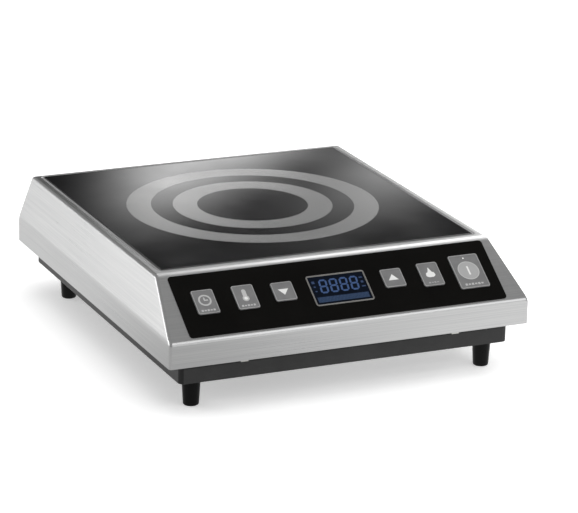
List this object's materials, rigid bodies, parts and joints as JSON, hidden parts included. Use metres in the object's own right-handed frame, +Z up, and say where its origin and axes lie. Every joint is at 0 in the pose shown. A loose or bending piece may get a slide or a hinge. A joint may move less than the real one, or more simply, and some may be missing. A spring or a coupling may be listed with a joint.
{
  "type": "induction hob",
  "caption": "Countertop induction hob: square black glass with zone rings, sloped key panel with display, steel housing on a black base with feet.",
  "frame": {"origin": "middle of the footprint on the worktop, under the middle of the bounding box", "axes": "+X to the right as the user stands at the keys, +Y to the rear, +Z up"},
  "size_m": [0.34, 0.387, 0.108],
  "materials": {
    "stainless_steel": "brushed",
    "glass_ceramic": "polished black with grey zone rings",
    "silicone_seal": "satin",
    "mica": "matte",
    "overlay_black": "smooth",
    "key_grey": "satin",
    "indicator_lens": "translucent",
    "bezel_grey": "satin",
    "display_smoke": "polished",
    "display_housing": "matte",
    "circuit_board": "lacquered",
    "black_component": "matte",
    "base_plastic": "fine texture",
    "foot_plastic": "moulded",
    "zinc_steel": "zinc plated",
    "black_steel": "black finished",
    "gland_nylon": "moulded",
    "terminal_plastic": "moulded",
    "wire_insulation": "smooth",
    "ribbon_grey": "smooth",
    "fan_plastic": "moulded",
    "bearing_bronze": "sintered",
    "copper": "enamelled",
    "carrier_plastic": "moulded",
    "ferrite": "ground",
    "aluminium": "mill finish",
    "white_plastic": "moulded",
    "capacitor_box": "moulded",
    "capacitor_blue": "moulded",
    "brass": "plated"
  },
  "bodies": {
    "chassis": {"housing": "stainless_steel", "glass_plate": "glass_ceramic", "glass_seal": "silicone_seal", "mica_sheet": "mica", "control_overlay": "overlay_black", "display_bezel": "bezel_grey", "display_lens": "display_smoke", "display_module": "display_housing", "control_board": "circuit_board", "tact_switches": "black_component", "buzzer": "black_component", "panel_studs": "stainless_steel", "control_board_screws": "zinc_steel", "control_cable": "ribbon_grey", "base_pan": "base_plastic", "band_clips": "zinc_steel", "base_screws": "black_steel", "foot_front_left": "foot_plastic", "foot_front_right": "foot_plastic", "foot_rear_left": "foot_plastic", "foot_rear_right": "foot_plastic", "foot_screws": "zinc_steel", "cable_gland": "gland_nylon", "gland_locknut": "gland_nylon", "terminal_block": "terminal_plastic", "mains_wires": "wire_insulation", "fan_frame": "fan_plastic", "fan_bearing": "bearing_bronze", "fan_stator": "copper", "fan_screws": "zinc_steel", "coil_winding": "copper", "coil_carrier": "carrier_plastic", "ferrite_bars": "ferrite", "coil_plate": "aluminium", "coil_posts": "white_plastic", "coil_plate_screws": "zinc_steel", "pan_sensor": "white_plastic", "sensor_holder": "carrier_plastic", "coil_leads": "copper", "power_board": "circuit_board", "power_board_screws": "zinc_steel", "heat_sink": "aluminium", "power_transistors": "black_component", "bridge_rectifier": "black_component", "resonant_capacitor": "capacitor_box", "smoothing_capacitor": "capacitor_blue", "electrolytic_capacitors": "black_component", "line_choke": "copper", "fuse": "terminal_plastic", "auxiliary_transformer": "capacitor_box", "coil_terminals": "brass"},
    "fan_rotor_body": {"fan_rotor": "fan_plastic"},
    "key_timer_body": {"key_timer": "key_grey"},
    "key_temp_body": {"key_temp": "key_grey"},
    "key_down_body": {"key_down": "key_grey"},
    "key_up_body": {"key_up": "key_grey"},
    "key_heat_body": {"key_heat": "key_grey"},
    "key_power_body": {"key_power": "key_grey", "power_led_lens": "indicator_lens"}
  },
  "joints": [
    {"name": "fan_spin", "type": "hinge", "parent": "chassis", "child": "fan_rotor_body", "pos_m": [-0.09, 0.03, 0.045], "axis": [0, 0, 1], "continuous": true},
    {"name": "press_timer", "type": "slide", "parent": "chassis", "child": "key_timer_body", "axis": [0, 0.5588, -0.8293], "range_m": [0, 0.0005], "stiffness_N_per_m": 200, "springref_m": -0.002},
    {"name": "press_temp", "type": "slide", "parent": "chassis", "child": "key_temp_body", "axis": [0, 0.5588, -0.8293], "range_m": [0, 0.0005], "stiffness_N_per_m": 200, "springref_m": -0.002},
    {"name": "press_down", "type": "slide", "parent": "chassis", "child": "key_down_body", "axis": [0, 0.5588, -0.8293], "range_m": [0, 0.0005], "stiffness_N_per_m": 200, "springref_m": -0.002},
    {"name": "press_up", "type": "slide", "parent": "chassis", "child": "key_up_body", "axis": [0, 0.5588, -0.8293], "range_m": [0, 0.0005], "stiffness_N_per_m": 200, "springref_m": -0.002},
    {"name": "press_heat", "type": "slide", "parent": "chassis", "child": "key_heat_body", "axis": [0, 0.5588, -0.8293], "range_m": [0, 0.0005], "stiffness_N_per_m": 200, "springref_m": -0.002},
    {"name": "press_power", "type": "slide", "parent": "chassis", "child": "key_power_body", "axis": [0, 0.5588, -0.8293], "range_m": [0, 0.0005], "stiffness_N_per_m": 200, "springref_m": -0.002}
  ]
}
